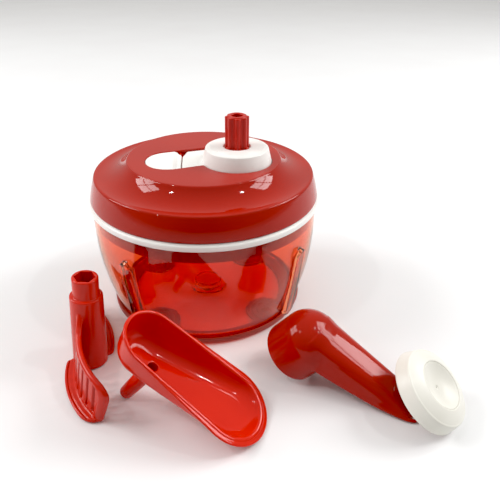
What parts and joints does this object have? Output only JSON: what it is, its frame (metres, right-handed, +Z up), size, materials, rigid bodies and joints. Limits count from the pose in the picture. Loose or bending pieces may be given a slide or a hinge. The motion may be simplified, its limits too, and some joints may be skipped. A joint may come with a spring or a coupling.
{
  "type": "hand-cranked food whip",
  "caption": "Hand-cranked food whip laid out for use: clear red bowl, geared lid with a filler flap, two-winged whisk, long funnel and a lift-off crank with a turning knob.",
  "frame": {"origin": "centre of the bowl's resting face, on the table", "axes": "+Z up along the bowl's axis; -Y towards the viewer, with the whisk at -X and the crank at +X"},
  "size_m": [0.2676, 0.2679, 0.1538],
  "materials": {
    "clear_red": "clear tinted plastic, polished",
    "soft_red": "soft translucent plastic",
    "red": "polished",
    "white": "polished",
    "acetal": "natural",
    "steel": "turned"
  },
  "bodies": {
    "base": {"bowl": "clear_red", "non_slip_ring": "soft_red"},
    "lid": {"lid_ring": "white", "lid_cover": "red", "inner_cover": "red", "hub_cover": "white", "flap_pin": "red", "shaft_bush": "acetal", "cover_screws": "steel", "pinion_axle": "steel", "pinion_washer": "steel"},
    "drive": {"drive_shaft": "red", "drive_gear": "acetal", "gear_washer": "steel", "shaft_clip": "steel"},
    "output": {"pinion": "acetal", "drive_coupler": "red"},
    "flap": {"filler_flap": "white"},
    "crank": {"crank_arm": "red", "knob_axle": "steel", "knob_washer": "steel"},
    "knob": {"knob": "white", "knob_cap": "white"},
    "whisk": {"whisk": "red"},
    "funnel": {"funnel": "red"}
  },
  "joints": [
    {"name": "lid_lift", "type": "slide", "parent": "base", "child": "lid", "axis": [0, 0, 1], "range_m": [0, 0.09]},
    {"name": "drive_spin", "type": "hinge", "parent": "lid", "child": "drive", "pos_m": [0.0243, -0.0098, 0.1], "axis": [0, 0, 1], "continuous": true},
    {"name": "output_spin", "type": "hinge", "parent": "lid", "child": "output", "pos_m": [0, 0, 0.09], "axis": [0, 0, 1], "continuous": true},
    {"name": "flap_hinge", "type": "hinge", "parent": "lid", "child": "flap", "pos_m": [-0.01825, -0.0065, 0.11747], "axis": [0, 1, 0], "range_deg": [0, 105]},
    {"name": "crank_lift", "type": "slide", "parent": "base", "child": "crank", "axis": [0, 0, 1], "range_m": [0, 0.09]},
    {"name": "knob_spin", "type": "hinge", "parent": "crank", "child": "knob", "pos_m": [0.13518, -0.15187, 0.01704], "axis": [0.5331, -0.328, 0.7799], "continuous": true},
    {"name": "whisk_lift", "type": "slide", "parent": "base", "child": "whisk", "axis": [0, 0, 1], "range_m": [0, 0.09]},
    {"name": "funnel_lift", "type": "slide", "parent": "base", "child": "funnel", "axis": [0, 0, 1], "range_m": [0, 0.09]}
  ],
  "couplings": [
    {"joint": "output_spin", "follows": "drive_spin", "ratio": -3}
  ]
}
